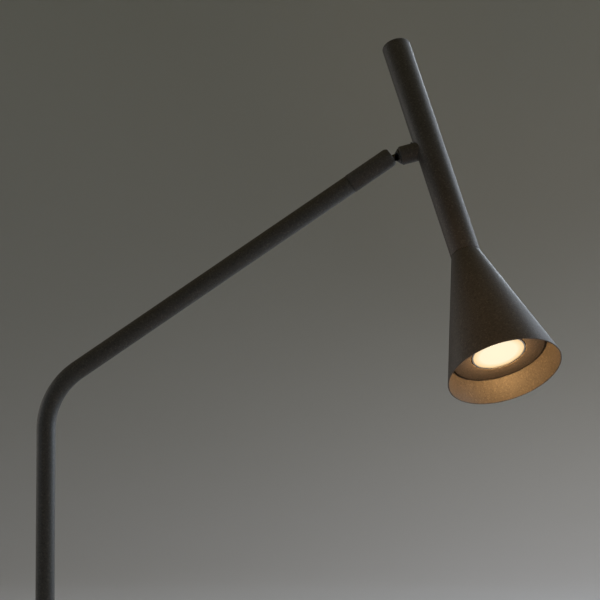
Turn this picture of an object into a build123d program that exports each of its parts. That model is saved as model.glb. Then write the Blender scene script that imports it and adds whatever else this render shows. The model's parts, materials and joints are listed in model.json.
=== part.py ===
"""Architect desk lamp: bent tube arm on a weighted foot, ball jointed reflector head.

Millimetres, +Z up. The origin is the middle of the foot's underside, on the pole's axis. The arm
reaches towards +X and the head leans its mouth towards -Y.
"""

import os
from math import asin, atan, cos, degrees, radians, sin, sqrt, tan

from build123d import *

os.makedirs("parts", exist_ok=True)

# ---- fits ---------------------------------------------------------------------------------
running_gap = 0.05      # radial, between a shaft and the bore that it turns in
seat_gap = 0.05         # radial, between a spigot and the tube that it is pressed into
thread_gap = 0.03       # radial, between a screw and its tapped hole
slip_gap = 0.3          # radial, for a screw or a lead that passes through a hole

# ---- stand --------------------------------------------------------------------------------
base_r = 105.0          # foot cover, outside
base_height = 22.0
base_wall = 1.5
base_edge_r = 6.0
pad_thick = 2.0
pad_r = 102.0
plate_thick = 1.5
weight_r = 101.5

tube_r = 9.0            # pole and arm, one bent tube
tube_wall = 1.5
corner_height = 360.0   # where the pole's axis and the arm's axis would cross
arm_reach = 322.0       # from the pole's axis to the centre of the ball
arm_angle = 34.4        # degrees above horizontal
bend_r = 68.0

plug_depth = 24.0       # pole plug inside the pole
nipple_r = 6.0          # threaded tail of the pole plug
nipple_bore_r = 4.2
nipple_end = 8.4
pole_nut_height = 4.5
pole_washer_thick = 1.5
pole_nut_flats = 19.0

bottom_screw_circle_r = 80.0
bottom_screw_count = 3
bottom_screw_r = 2.0
bottom_screw_head_r = 3.4
bottom_screw_cross = 3.6
bottom_screw_length = 10.0

# ---- mains inlet and terminals ------------------------------------------------------------
gland_height = 10.5
gland_body_r = 4.9
gland_bore_r = 3.25
gland_flange_r = 6.6
gland_flange_thick = 2.0
gland_inner_length = 12.0
cord_channel_width = 12.5

clamp_x = -80.0
clamp_length = 24.0
clamp_width = 8.0
clamp_thick = 2.0
clamp_screw_spread = 9.4
clamp_screw_r = 1.5
clamp_screw_head_r = 2.75
clamp_screw_head_thick = 1.5
clamp_screw_length = 8.0

terminal_x = -46.0
terminal_length = 20.0
terminal_width = 22.0
terminal_height = 11.0
terminal_floor = 5.5
terminal_pole_y = 6.0
terminal_screw_r = 1.6

# ---- switch -------------------------------------------------------------------------------
switch_x = 58.0
switch_side = 16.0
switch_floor = 7.0
bushing_r = 6.0
bushing_rise = 3.0      # bushing above the cover
button_r = 4.42
button_gap = 0.08
button_rise = 3.0       # button above the bushing
button_travel = 2.5
shoulder_r = 5.35
shoulder_thick = 1.6
switch_cavity_r = 5.65
switch_cavity_floor = 9.0
switch_cavity_roof = 19.5
ring_nut_r = 9.0
ring_nut_thick = 2.4
button_spring_r = 3.7
button_spring_wire_r = 0.3

# ---- leads --------------------------------------------------------------------------------
lead_r = 1.4
switch_lead_r = 1.2
switch_lead_lane = -17.0    # where it runs beside the terminals, across the foot

# ---- swivel and ball joint, distances along the arm's axis from the ball's centre ----------
sleeve_r = 9.3
sleeve_start = -40.6
sleeve_edge_r = 6.0
sleeve_edge_start = 2.7
swivel_washer_thick = 0.5
spigot_r = 7.0
spigot_end = -14.2
spigot_bore_r = 2.7
spigot_depth = 22.0     # inside the arm tube
groove_place = -30.0
groove_width = 2.6
groove_r = 5.0
groove_land = 8.0       # degrees of the groove left solid, as a stop
sleeve_screw_r = 1.5
sleeve_screw_tip_r = 1.0

ball_r = 6.5
ball_gap = 0.05
lip_place = 2.6
crest_place = 6.7
seat_front = -3.0
seat_back = -8.4
seat_bore_r = 4.3
seat_spring_r = 5.5
seat_spring_wire_r = 0.6

# ---- stem and boss, distances along the stem's axis from the ball's centre -----------------
stem_angle = 15.3       # degrees above horizontal
stem_r = 3.25
flare_start = 9.5
flare_r = 7.4
flare_bend_r = 3.0      # hollow curve where the stem turns into the flare
friction_washer_thick = 0.5
boss_face = 14.6
boss_r = 9.0
boss_web = 4.6
shank_r = 3.0
shank_end = 29.4
stem_bore_r = 1.8
boss_pocket_r = 6.0
stem_washer_thick = 0.8
stem_washer_r = 5.4
stem_nut_thick = 3.0
stem_nut_flats = 9.5
stop_place = 28.2
stop_peg_r = 0.75
stop_peg_reach = 5.0
stop_screw_r = 1.0
stop_screw_tip_r = 4.0
stop_screw_proud = 0.9  # above the boss
head_offset = 44.0      # ball's centre to the head tube's axis

# ---- head, distances along the head's axis from the seam under the tube, down to the mouth -
head_lean = 29.2        # degrees that the mouth leans forward
head_tube_r = 14.0
head_tube_wall = 1.2
head_tube_length = 255.0
cap_thick = 1.5
cap_depth = 10.0
seam_gap = 0.5
shade_length = 130.0
shade_mouth_r = 53.0
shade_wall = 1.2
shade_flange_thick = 1.5
shade_flange_r = 9.0    # hole in the shade's top

coupling_depth = 14.0
coupling_web = 4.0
coupling_hollow_r = 10.0
ring_nut_outer_r = 12.4
ring_nut_height = 3.0

holder_stem_r = 5.0
holder_stem_bore_r = 3.2
holder_stem_top = -9.0
holder_top = 40.0
holder_length = 22.0
holder_r = 13.0
holder_socket_depth = 6.0
stem_nuts_flats = 14.0
stem_nuts_thick = 3.5

lamp_face = 110.0
lamp_r = 25.0
lamp_rim = 4.5
lamp_neck = 72.0
lamp_neck_r = 10.0
lamp_base_r = 9.0
pin_spread = 5.0
pin_r = 1.25
pin_foot_r = 2.0
pin_length = 7.0
glass_thick = 1.6
glass_r = 23.6

baffle_thick = 0.8
baffle_hole_r = 25.7
baffle_gap = 2.6        # shadow line between the baffle and the shade
baffle_collar = 7.0
baffle_clip_count = 3
baffle_clip_width = 8.0
baffle_clip_length = 12.0
baffle_clip_thick = 0.5

# ---- places worked out from the sizes above ------------------------------------------------
tube_bore_r = tube_r - tube_wall
spigot_bore_in_sleeve_r = spigot_r + running_gap
plate_top = pad_thick + plate_thick
weight_top = base_height - base_wall
cover_bore_r = base_r - base_wall

arm_dir = Vector(cos(radians(arm_angle)), 0, sin(radians(arm_angle)))
stem_dir = Vector(cos(radians(stem_angle)), 0, sin(radians(stem_angle)))
upright_of_stem = Vector(-sin(radians(stem_angle)), 0, cos(radians(stem_angle)))
head_down = upright_of_stem * -cos(radians(head_lean))
head_forward = Vector(0, -1, 0) * sin(radians(head_lean))
head_dir = (head_down + head_forward).normalized()

corner = Vector(0, 0, corner_height)
ball_centre = Vector(arm_reach, 0, corner_height + arm_reach * tan(radians(arm_angle)))
head_middle = ball_centre + stem_dir * head_offset
seam_centre = head_middle + head_dir * (head_tube_length / 2)

arm_axis = Axis(ball_centre, arm_dir)
stem_axis = Axis(ball_centre, stem_dir)
head_axis = Axis(seam_centre, head_dir)
arm_profile = Plane(origin=ball_centre, x_dir=arm_dir, z_dir=(0, -1, 0))
stem_profile = Plane(origin=ball_centre, x_dir=stem_dir, z_dir=(0, -1, 0))
head_profile = Plane(origin=seam_centre, x_dir=head_dir, z_dir=stem_dir)

head_tube_bore_r = head_tube_r - head_tube_wall
shade_slope = (shade_mouth_r - head_tube_r) / shade_length
shade_wall_across = shade_wall * sqrt(1 + shade_slope**2)
coupling_neck_r = shade_flange_r - seat_gap
tube_end_on_arm = sleeve_start - swivel_washer_thick
switch_cover_top = base_height + bushing_rise
shoulder_top = switch_cavity_roof - 0.2
shoulder_bottom = shoulder_top - shoulder_thick


def across_arm(place):
    """Plane square to the arm, a distance along it from the ball's centre."""
    return Plane(origin=ball_centre + arm_dir * place, x_dir=(0, 1, 0), z_dir=arm_dir)


def across_stem(place):
    """Plane square to the stem, a distance along it from the ball's centre."""
    return Plane(origin=ball_centre + stem_dir * place, x_dir=(0, 1, 0), z_dir=stem_dir)


def across_head(place):
    """Plane square to the head's axis, a distance down it from the seam."""
    return Plane(origin=seam_centre + head_dir * place, x_dir=stem_dir, z_dir=head_dir)


def shade_inner_r(place):
    """Radius of the shade's inner face at a distance down from the seam."""
    return head_tube_r + shade_slope * place - shade_wall_across


def ring(plane, outer_r, inner_r, thick):
    """Flat ring that rises from a plane, for washers and ring nuts."""
    with BuildPart() as piece:
        with BuildSketch(plane):
            Circle(outer_r)
            Circle(inner_r, mode=Mode.SUBTRACT)
        extrude(amount=thick)
    return piece


def hex_nut(plane, flats, bore_r, thick):
    """Hexagon nut that rises from a plane."""
    with BuildPart() as piece:
        with BuildSketch(plane):
            RegularPolygon(flats / 2, 6, major_radius=False)
            Circle(bore_r, mode=Mode.SUBTRACT)
        extrude(amount=thick)
    return piece


def save(piece, name):
    """Name a finished piece and write it to its own file."""
    piece.part.label = name
    export_step(piece.part, f"parts/{name}.step")


# ---- foot ---------------------------------------------------------------------------------
def make_foot_pad():
    with BuildPart() as foot_pad:
        with BuildSketch():
            Circle(pad_r)
            with PolarLocations(bottom_screw_circle_r, bottom_screw_count):
                Circle(bottom_screw_head_r + 2, mode=Mode.SUBTRACT)
        extrude(amount=pad_thick)
    return foot_pad


def make_bottom_plate():
    with BuildPart() as bottom_plate:
        with BuildSketch(Plane.XY.offset(pad_thick)):
            Circle(cover_bore_r - 0.2)
        extrude(amount=plate_thick)
        with Locations(Plane.XY.offset(pad_thick).rotated((180, 0, 0))):
            with PolarLocations(bottom_screw_circle_r, bottom_screw_count):
                CounterSinkHole(bottom_screw_r + slip_gap, bottom_screw_head_r + 0.1)
    return bottom_plate


def make_bottom_screws():
    head_depth = bottom_screw_head_r - bottom_screw_r
    with BuildPart() as bottom_screws:
        with BuildSketch(Plane.XY.offset(pad_thick)):
            with PolarLocations(bottom_screw_circle_r, bottom_screw_count):
                Circle(bottom_screw_r)
        extrude(amount=bottom_screw_length)
        with BuildSketch(Plane.XY.offset(pad_thick)):
            with PolarLocations(bottom_screw_circle_r, bottom_screw_count):
                Circle(bottom_screw_head_r)
        extrude(amount=head_depth, taper=45)
        with BuildSketch(Plane.XY.offset(pad_thick)):
            with PolarLocations(bottom_screw_circle_r, bottom_screw_count):
                Rectangle(bottom_screw_cross, 0.9)
                Rectangle(0.9, bottom_screw_cross)
        extrude(amount=1.0, mode=Mode.SUBTRACT)
    return bottom_screws


def make_base_weight():
    washer_seat = nipple_end + 0.6 + pole_nut_height + pole_washer_thick
    clamp_seat = plate_top + clamp_screw_head_thick + 0.2 + clamp_thick
    cord_roof = gland_height + gland_bore_r
    with BuildPart() as base_weight:
        with BuildSketch(Plane.XY.offset(plate_top)):
            Circle(weight_r)
        extrude(amount=weight_top - plate_top)
        top_edge = base_weight.edges().filter_by(GeomType.CIRCLE).sort_by(Axis.Z)[-1]
        fillet(top_edge, radius=base_edge_r - base_wall + 0.5)
        # pole: clearance hole with a pocket for its nut and washer
        with BuildSketch(Plane.XY.offset(plate_top)):
            Circle(nipple_r + slip_gap)
        extrude(amount=weight_top, mode=Mode.SUBTRACT)
        with BuildSketch(Plane.XY.offset(plate_top)):
            Circle(pole_nut_flats / 2 + 3)
        extrude(amount=washer_seat - plate_top, mode=Mode.SUBTRACT)
        # cord channel from the gland to the terminals
        with BuildSketch(Plane.XY.offset(plate_top)):
            with Locations((-base_r, 0)):
                Rectangle(base_r + terminal_x, cord_channel_width, align=(Align.MIN, Align.CENTER))
        extrude(amount=cord_roof - plate_top, mode=Mode.SUBTRACT)
        # widening of the channel that takes the gland's inner end
        with BuildSketch(Plane.XY.offset(plate_top)):
            with Locations((-base_r, 0)):
                Rectangle(gland_inner_length + 6, cord_channel_width, align=(Align.MIN, Align.CENTER))
        extrude(amount=gland_height + gland_body_r + 0.6 - plate_top, mode=Mode.SUBTRACT)
        # seat for the cord clamp
        with BuildSketch(Plane.XY.offset(plate_top)):
            with Locations((clamp_x, 0)):
                Rectangle(clamp_width + 1, clamp_length + 2)
        extrude(amount=clamp_seat - plate_top, mode=Mode.SUBTRACT)
        with BuildSketch(Plane.XY.offset(plate_top)):
            with Locations((clamp_x, -clamp_screw_spread), (clamp_x, clamp_screw_spread)):
                Circle(clamp_screw_r + thread_gap)
        extrude(amount=clamp_screw_length + 4, mode=Mode.SUBTRACT)
        # pockets for the terminals and the switch, and the lanes between them
        with BuildSketch(Plane.XY.offset(plate_top)):
            with Locations((terminal_x, -3.5)):
                Rectangle(terminal_length + 14, terminal_width + 13)
            with Locations((switch_x, -4.5)):
                Rectangle(switch_side + 8, switch_side + 17)
        extrude(amount=weight_top, mode=Mode.SUBTRACT)
        with BuildSketch(Plane.XY.offset(plate_top)):
            with Locations((terminal_x, switch_lead_lane)):
                Rectangle(switch_x - terminal_x, 8, align=(Align.MIN, Align.CENTER))
            with Locations((terminal_x, 0)):
                Rectangle(-terminal_x, 8, align=(Align.MIN, Align.CENTER))
        extrude(amount=9, mode=Mode.SUBTRACT)
        with BuildSketch(Plane.XY.offset(plate_top)):
            with PolarLocations(bottom_screw_circle_r, bottom_screw_count):
                Circle(bottom_screw_r + thread_gap)
        extrude(amount=bottom_screw_length + 1, mode=Mode.SUBTRACT)
    return base_weight


def make_base_cover():
    with BuildPart() as base_cover:
        with BuildSketch(Plane.XY.offset(pad_thick)):
            Circle(base_r)
        extrude(amount=base_height - pad_thick)
        fillet(base_cover.edges().sort_by(Axis.Z)[-1], radius=base_edge_r)
        offset(amount=-base_wall, openings=base_cover.faces().sort_by(Axis.Z)[0])
        with BuildSketch(Plane.XY.offset(base_height)):
            Circle(nipple_r + slip_gap)
            with Locations((switch_x, 0)):
                Circle(bushing_r + 0.15)
        extrude(amount=-2 * base_wall, mode=Mode.SUBTRACT)
        with BuildSketch(Plane(origin=(-base_r - 1, 0, gland_height), x_dir=(0, 1, 0), z_dir=(1, 0, 0))):
            Circle(gland_body_r + seat_gap)
        extrude(amount=2 * base_wall + 2, mode=Mode.SUBTRACT)
    return base_cover


# ---- pole's fastening ----------------------------------------------------------------------
def make_pole_plug():
    with BuildPart() as pole_plug:
        with BuildSketch(Plane.XY.offset(base_height)):
            Circle(tube_bore_r - seat_gap)
        extrude(amount=plug_depth)
        chamfer(pole_plug.edges().sort_by(Axis.Z)[-1], length=1)
        with BuildSketch(Plane.XY.offset(nipple_end)):
            Circle(nipple_r)
        extrude(amount=base_height - nipple_end)
        chamfer(pole_plug.edges().sort_by(Axis.Z)[0], length=0.6)
        with BuildSketch(Plane.XY.offset(nipple_end)):
            Circle(nipple_bore_r)
        extrude(amount=base_height + plug_depth, mode=Mode.SUBTRACT)
    return pole_plug


def make_pole_nut():
    nut_bottom = Plane.XY.offset(nipple_end + 0.6)
    return hex_nut(nut_bottom, pole_nut_flats, nipple_r + thread_gap, pole_nut_height)


def make_pole_washer():
    washer_bottom = Plane.XY.offset(nipple_end + 0.6 + pole_nut_height)
    return ring(washer_bottom, pole_nut_flats / 2 + 2, nipple_r + slip_gap, pole_washer_thick)


# ---- mains inlet and terminals --------------------------------------------------------------
def make_cord_gland():
    outward = Plane(origin=(-base_r, 0, gland_height), x_dir=(0, 1, 0), z_dir=(-1, 0, 0))
    with BuildPart() as cord_gland:
        with BuildSketch(outward.offset(0.1)):
            Circle(gland_flange_r)
        extrude(amount=gland_flange_thick)
        fillet(cord_gland.edges().sort_by(Axis.X)[0], radius=1)
        with BuildSketch(outward.offset(0.1)):
            Circle(gland_body_r)
        extrude(amount=-gland_inner_length)
        with BuildSketch(outward.offset(gland_flange_thick + 0.1)):
            Circle(gland_bore_r)
        extrude(amount=-gland_inner_length - gland_flange_thick, mode=Mode.SUBTRACT)
    return cord_gland


def make_cord_clamp():
    clamp_bottom = plate_top + clamp_screw_head_thick + 0.2
    with BuildPart() as cord_clamp:
        with BuildSketch(Plane.XY.offset(clamp_bottom)):
            with Locations((clamp_x, 0)):
                RectangleRounded(clamp_width, clamp_length, 1.5)
            with Locations((clamp_x, -clamp_screw_spread), (clamp_x, clamp_screw_spread)):
                Circle(clamp_screw_r + slip_gap, mode=Mode.SUBTRACT)
        extrude(amount=clamp_thick)
    return cord_clamp


def make_clamp_screws():
    head_bottom = plate_top + 0.2
    with BuildPart() as clamp_screws:
        with BuildSketch(Plane.XY.offset(head_bottom)):
            with Locations((clamp_x, -clamp_screw_spread), (clamp_x, clamp_screw_spread)):
                Circle(clamp_screw_head_r)
        extrude(amount=clamp_screw_head_thick)
        with BuildSketch(Plane.XY.offset(head_bottom)):
            with Locations((clamp_x, -clamp_screw_spread), (clamp_x, clamp_screw_spread)):
                Circle(clamp_screw_r)
        extrude(amount=clamp_screw_head_thick + clamp_screw_length)
        with BuildSketch(Plane.XY.offset(head_bottom)):
            with Locations((clamp_x, -clamp_screw_spread), (clamp_x, clamp_screw_spread)):
                Rectangle(4, 0.8)
        extrude(amount=0.7, mode=Mode.SUBTRACT)
    return clamp_screws


def terminal_screw_places():
    """Centres of the four clamping screws, two to a pole."""
    return [
        (terminal_x + along, across)
        for along in (-terminal_length / 4, terminal_length / 4)
        for across in (-terminal_pole_y, terminal_pole_y)
    ]


def make_terminal_block():
    with BuildPart() as terminal_block:
        with BuildSketch(Plane.XY.offset(terminal_floor)):
            with Locations((terminal_x, 0)):
                RectangleRounded(terminal_length, terminal_width, 1)
        extrude(amount=terminal_height)
        with BuildSketch(Plane.XY.offset(terminal_floor)):
            with Locations(*terminal_screw_places()):
                Circle(terminal_screw_r + thread_gap)
        extrude(amount=terminal_height / 2, mode=Mode.SUBTRACT)
    return terminal_block


def make_terminal_screws():
    with BuildPart() as terminal_screws:
        with BuildSketch(Plane.XY.offset(terminal_floor + 0.5)):
            with Locations(*terminal_screw_places()):
                Circle(terminal_screw_r)
        extrude(amount=terminal_height / 2 - 1)
        with BuildSketch(Plane.XY.offset(terminal_floor + 0.5)):
            with Locations(*terminal_screw_places()):
                Rectangle(2 * terminal_screw_r, 0.5)
        extrude(amount=0.6, mode=Mode.SUBTRACT)
    return terminal_screws


# ---- switch ---------------------------------------------------------------------------------
def make_switch_body():
    with BuildPart() as switch_body:
        with BuildSketch(Plane.XY.offset(switch_floor)):
            with Locations((switch_x, 0)):
                RectangleRounded(switch_side, switch_side, 1.5)
        extrude(amount=weight_top - switch_floor)
        with BuildSketch(Plane.XY.offset(weight_top)):
            with Locations((switch_x, 0)):
                Circle(bushing_r)
        extrude(amount=switch_cover_top - weight_top)
        chamfer(switch_body.edges().sort_by(Axis.Z)[-1], length=0.5)
        with BuildSketch(Plane.XY.offset(switch_cavity_floor)):
            with Locations((switch_x, 0)):
                Circle(button_r + button_gap)
        extrude(amount=switch_cover_top, mode=Mode.SUBTRACT)
        with BuildSketch(Plane.XY.offset(switch_cavity_floor)):
            with Locations((switch_x, 0)):
                Circle(switch_cavity_r)
        extrude(amount=switch_cavity_roof - switch_cavity_floor, mode=Mode.SUBTRACT)
    return switch_body


def make_switch_nut():
    with BuildPart() as switch_nut:
        with BuildSketch(Plane.XY.offset(base_height)):
            with Locations((switch_x, 0)):
                Circle(ring_nut_r)
        extrude(amount=ring_nut_thick)
        fillet(switch_nut.edges().sort_by(Axis.Z)[-1], radius=0.8)
        with BuildSketch(Plane.XY.offset(base_height)):
            with Locations((switch_x, 0)):
                Circle(bushing_r + thread_gap)
        extrude(amount=ring_nut_thick, mode=Mode.SUBTRACT)
    return switch_nut


def make_switch_button():
    with BuildPart() as switch_button:
        with BuildSketch(Plane.XY.offset(shoulder_bottom)):
            with Locations((switch_x, 0)):
                Circle(button_r)
        extrude(amount=switch_cover_top + button_rise - shoulder_bottom)
        fillet(switch_button.edges().sort_by(Axis.Z)[-1], radius=1)
        with BuildSketch(Plane.XY.offset(shoulder_bottom)):
            with Locations((switch_x, 0)):
                Circle(shoulder_r)
        extrude(amount=shoulder_thick)
    return switch_button


def make_switch_spring():
    wire_bottom = switch_cavity_floor + button_spring_wire_r + 0.05
    wire_top = shoulder_bottom - button_spring_wire_r - 0.05
    with BuildPart() as switch_spring:
        with BuildLine() as coil:
            Helix(
                pitch=(wire_top - wire_bottom) / 5,
                height=wire_top - wire_bottom,
                radius=button_spring_r,
                center=(switch_x, 0, wire_bottom),
            )
        with BuildSketch(Plane(origin=coil.line @ 0, z_dir=coil.line % 0)):
            Circle(button_spring_wire_r)
        sweep(is_frenet=True)
    return switch_spring


def make_switch_lead():
    lead_height = terminal_floor + terminal_height / 3
    block_side = terminal_x + terminal_length / 2
    switch_face = -switch_side / 2
    with BuildPart() as switch_lead:
        with BuildLine() as route:
            FilletPolyline(
                (block_side, -terminal_pole_y, lead_height),
                (block_side + 4.5, -terminal_pole_y, lead_height),
                (block_side + 4.5, switch_lead_lane, lead_height),
                (switch_x - 3, switch_lead_lane, lead_height),
                (switch_x - 3, switch_face, lead_height),
                radius=4,
            )
        with BuildSketch(Plane(origin=route.line @ 0, z_dir=route.line % 0)):
            Circle(switch_lead_r)
        sweep()
    return switch_lead


# ---- pole and arm -----------------------------------------------------------------------------
def make_pole_tube():
    with BuildPart() as pole_tube:
        with BuildLine() as centre_line:
            FilletPolyline(
                (0, 0, base_height),
                corner,
                ball_centre + arm_dir * tube_end_on_arm,
                radius=bend_r,
            )
        with BuildSketch(Plane.XY.offset(base_height)):
            Circle(tube_r)
            Circle(tube_bore_r, mode=Mode.SUBTRACT)
        sweep()
    return pole_tube


def make_arm_lead():
    lane_height = plate_top + 0.3 + lead_r
    lead_height = terminal_floor + terminal_height / 3
    block_side = terminal_x + terminal_length / 2
    above_plug = base_height + plug_depth + 20
    with BuildPart() as arm_lead:
        with BuildLine() as route:
            FilletPolyline(
                (block_side, 0, lead_height),
                (block_side + 7, 0, lead_height),
                (block_side + 14, 0, lane_height),
                (0, 0, lane_height),
                (0, 0, above_plug),
                radius=8,
            )
            FilletPolyline(
                (0, 0, above_plug),
                corner,
                ball_centre + arm_dir * (seat_back - 0.3),
                radius=bend_r,
            )
        with BuildSketch(Plane(origin=route.line @ 0, z_dir=route.line % 0)):
            Circle(lead_r)
        sweep()
    return arm_lead


# ---- swivel -------------------------------------------------------------------------------------
def make_arm_plug():
    groove_turn = 360 - groove_land
    groove_low = groove_place - groove_width / 2
    groove_high = groove_place + groove_width / 2
    facing = (arm_profile.y_dir * -1).rotate(Axis((0, 0, 0), arm_dir), groove_land / 2)
    groove_end = Plane(origin=ball_centre, x_dir=arm_dir, z_dir=facing)
    with BuildPart() as arm_plug:
        with BuildSketch(across_arm(tube_end_on_arm)):
            Circle(tube_bore_r - seat_gap)
        extrude(amount=-spigot_depth)
        with BuildSketch(across_arm(tube_end_on_arm)):
            Circle(spigot_r)
        extrude(amount=spigot_end - tube_end_on_arm)
        with BuildSketch(across_arm(spigot_end)):
            Circle(spigot_bore_r)
        extrude(amount=-spigot_depth + tube_end_on_arm - spigot_end, mode=Mode.SUBTRACT)
        # the screw's groove runs nearly all the way round: what is left of it is the stop
        with BuildSketch(groove_end):
            with BuildLine():
                Polyline(
                    (groove_low, groove_r),
                    (groove_low, spigot_r + 1),
                    (groove_high, spigot_r + 1),
                    (groove_high, groove_r),
                    close=True,
                )
            make_face()
        revolve(axis=arm_axis, revolution_arc=groove_turn, mode=Mode.SUBTRACT)
    return arm_plug


def make_swivel_washer():
    washer_start = across_arm(tube_end_on_arm + 0.05)
    return ring(washer_start, tube_r - 0.35, spigot_r + 0.2, swivel_washer_thick - 0.1)


def make_socket_sleeve():
    crest_r = sleeve_r - sleeve_edge_r + sqrt(sleeve_edge_r**2 - (crest_place - sleeve_edge_start) ** 2)
    edge_middle = radians(21)
    edge_centre_r = sleeve_r - sleeve_edge_r
    socket_r = ball_r + ball_gap
    lip_r = sqrt(socket_r**2 - lip_place**2)
    half_place = lip_place / 2
    with BuildPart() as socket_sleeve:
        with BuildSketch(arm_profile):
            with BuildLine():
                Polyline(
                    (0, spigot_bore_in_sleeve_r),
                    (sleeve_start, spigot_bore_in_sleeve_r),
                    (sleeve_start, sleeve_r),
                    (sleeve_edge_start, sleeve_r),
                )
                ThreePointArc(
                    (sleeve_edge_start, sleeve_r),
                    (
                        sleeve_edge_start + sleeve_edge_r * sin(edge_middle),
                        edge_centre_r + sleeve_edge_r * cos(edge_middle),
                    ),
                    (crest_place, crest_r),
                )
                Line((crest_place, crest_r), (lip_place, lip_r))
                ThreePointArc(
                    (lip_place, lip_r),
                    (half_place, sqrt(socket_r**2 - half_place**2)),
                    (0, socket_r),
                )
                Line((0, socket_r), (0, spigot_bore_in_sleeve_r))
            make_face()
        revolve(axis=arm_axis)
        # tapped hole for the screw that holds the sleeve on its spigot, at the back
        with BuildSketch(sleeve_back()):
            Circle(sleeve_screw_r + thread_gap)
        extrude(amount=sleeve_r + 1, mode=Mode.SUBTRACT)
    return socket_sleeve


def sleeve_back():
    """Plane through the arm's axis at the spigot's groove, facing the back."""
    return Plane(origin=ball_centre + arm_dir * groove_place, x_dir=arm_dir, z_dir=(0, 1, 0))


def make_sleeve_screw():
    back = sleeve_back()
    screw_start = spigot_bore_in_sleeve_r + 0.1
    screw_end = sleeve_r - 0.2
    tip_start = groove_r + 0.3
    with BuildPart() as sleeve_screw:
        with BuildSketch(back.offset(screw_start)):
            Circle(sleeve_screw_r)
        extrude(amount=screw_end - screw_start)
        with BuildSketch(back.offset(tip_start)):
            Circle(sleeve_screw_tip_r)
        extrude(amount=screw_start - tip_start)
        with BuildSketch(back.offset(screw_end)):
            RegularPolygon(0.75, 6, major_radius=False)
        extrude(amount=-1.2, mode=Mode.SUBTRACT)
    return sleeve_screw


# ---- ball joint ---------------------------------------------------------------------------------
def make_ball_seat():
    cup_r = ball_r + ball_gap
    cup_front_r = sqrt(cup_r**2 - seat_front**2)
    cup_back = -sqrt(cup_r**2 - seat_bore_r**2)
    cup_middle = (seat_front + cup_back) / 2
    with BuildPart() as ball_seat:
        with BuildSketch(arm_profile):
            with BuildLine():
                Polyline(
                    (cup_back, seat_bore_r),
                    (seat_back, seat_bore_r),
                    (seat_back, spigot_r - 0.05),
                    (seat_front, spigot_r - 0.05),
                    (seat_front, cup_front_r),
                )
                ThreePointArc(
                    (seat_front, cup_front_r),
                    (cup_middle, sqrt(cup_r**2 - cup_middle**2)),
                    (cup_back, seat_bore_r),
                )
            make_face()
        revolve(axis=arm_axis)
    return ball_seat


def make_seat_spring():
    wire_start = spigot_end + 0.3 + seat_spring_wire_r
    wire_end = seat_back - seat_spring_wire_r
    with BuildPart() as seat_spring:
        with BuildLine() as coil:
            Helix(
                pitch=(wire_end - wire_start) / 2.5,
                height=wire_end - wire_start,
                radius=seat_spring_r,
                center=ball_centre + arm_dir * wire_start,
                direction=arm_dir,
            )
        with BuildSketch(Plane(origin=coil.line @ 0, z_dir=coil.line % 0)):
            Circle(seat_spring_wire_r)
        sweep(is_frenet=True)
    return seat_spring


def make_ball_stem():
    ball_front = sqrt(ball_r**2 - stem_r**2)
    mouth_r = 3.6
    ball_back = -sqrt(ball_r**2 - mouth_r**2)
    flare_end = boss_face - friction_washer_thick
    flare_rim = flare_end - 0.8
    flare_angle = atan((flare_r - stem_r) / (flare_rim - flare_start))
    bend_run = flare_bend_r * tan(flare_angle / 2)
    bend_start = flare_start - bend_run
    bend_middle = (
        bend_start + flare_bend_r * sin(flare_angle / 2),
        stem_r + flare_bend_r * (1 - cos(flare_angle / 2)),
    )
    bend_end = (flare_start + bend_run * cos(flare_angle), stem_r + bend_run * sin(flare_angle))
    with BuildPart() as ball_stem:
        with BuildSketch(stem_profile):
            with BuildLine():
                Line((ball_back + mouth_r - stem_bore_r, stem_bore_r), (ball_back, mouth_r))
                ThreePointArc((ball_back, mouth_r), (0, ball_r), (ball_front, stem_r))
                Line((ball_front, stem_r), (bend_start, stem_r))
                ThreePointArc((bend_start, stem_r), bend_middle, bend_end)
                Polyline(
                    bend_end,
                    (flare_rim, flare_r),
                    (flare_end, flare_r),
                    (flare_end, shank_r),
                    (shank_end, shank_r),
                    (shank_end, stem_bore_r),
                    (ball_back + mouth_r - stem_bore_r, stem_bore_r),
                )
            make_face()
        revolve(axis=stem_axis)
        # hole for the stop peg, on the underside
        with BuildSketch(stop_plane(upright_of_stem * -1)):
            Circle(stop_peg_r)
        extrude(amount=shank_r + 1, mode=Mode.SUBTRACT)
    return ball_stem


def stop_plane(outward):
    """Plane through the stem's axis at the stop, facing a radial direction."""
    return Plane(origin=ball_centre + stem_dir * stop_place, x_dir=stem_dir, z_dir=outward)


def make_friction_washer():
    return ring(
        across_stem(boss_face - friction_washer_thick + 0.05),
        flare_r + 0.5,
        shank_r + 0.1,
        friction_washer_thick - 0.1,
    )


def make_stem_washer():
    washer_start = across_stem(boss_face + boss_web + 0.05)
    return ring(washer_start, stem_washer_r, shank_r + 0.1, stem_washer_thick)


def make_stem_nut():
    nut_place = boss_face + boss_web + 0.1 + stem_washer_thick
    return hex_nut(across_stem(nut_place), stem_nut_flats, shank_r + thread_gap, stem_nut_thick)


def make_stop_peg():
    with BuildPart() as stop_peg:
        with BuildSketch(stop_plane(upright_of_stem * -1).offset(stem_bore_r + 0.1)):
            Circle(stop_peg_r)
        extrude(amount=stop_peg_reach - stem_bore_r - 0.1)
    return stop_peg


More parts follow.
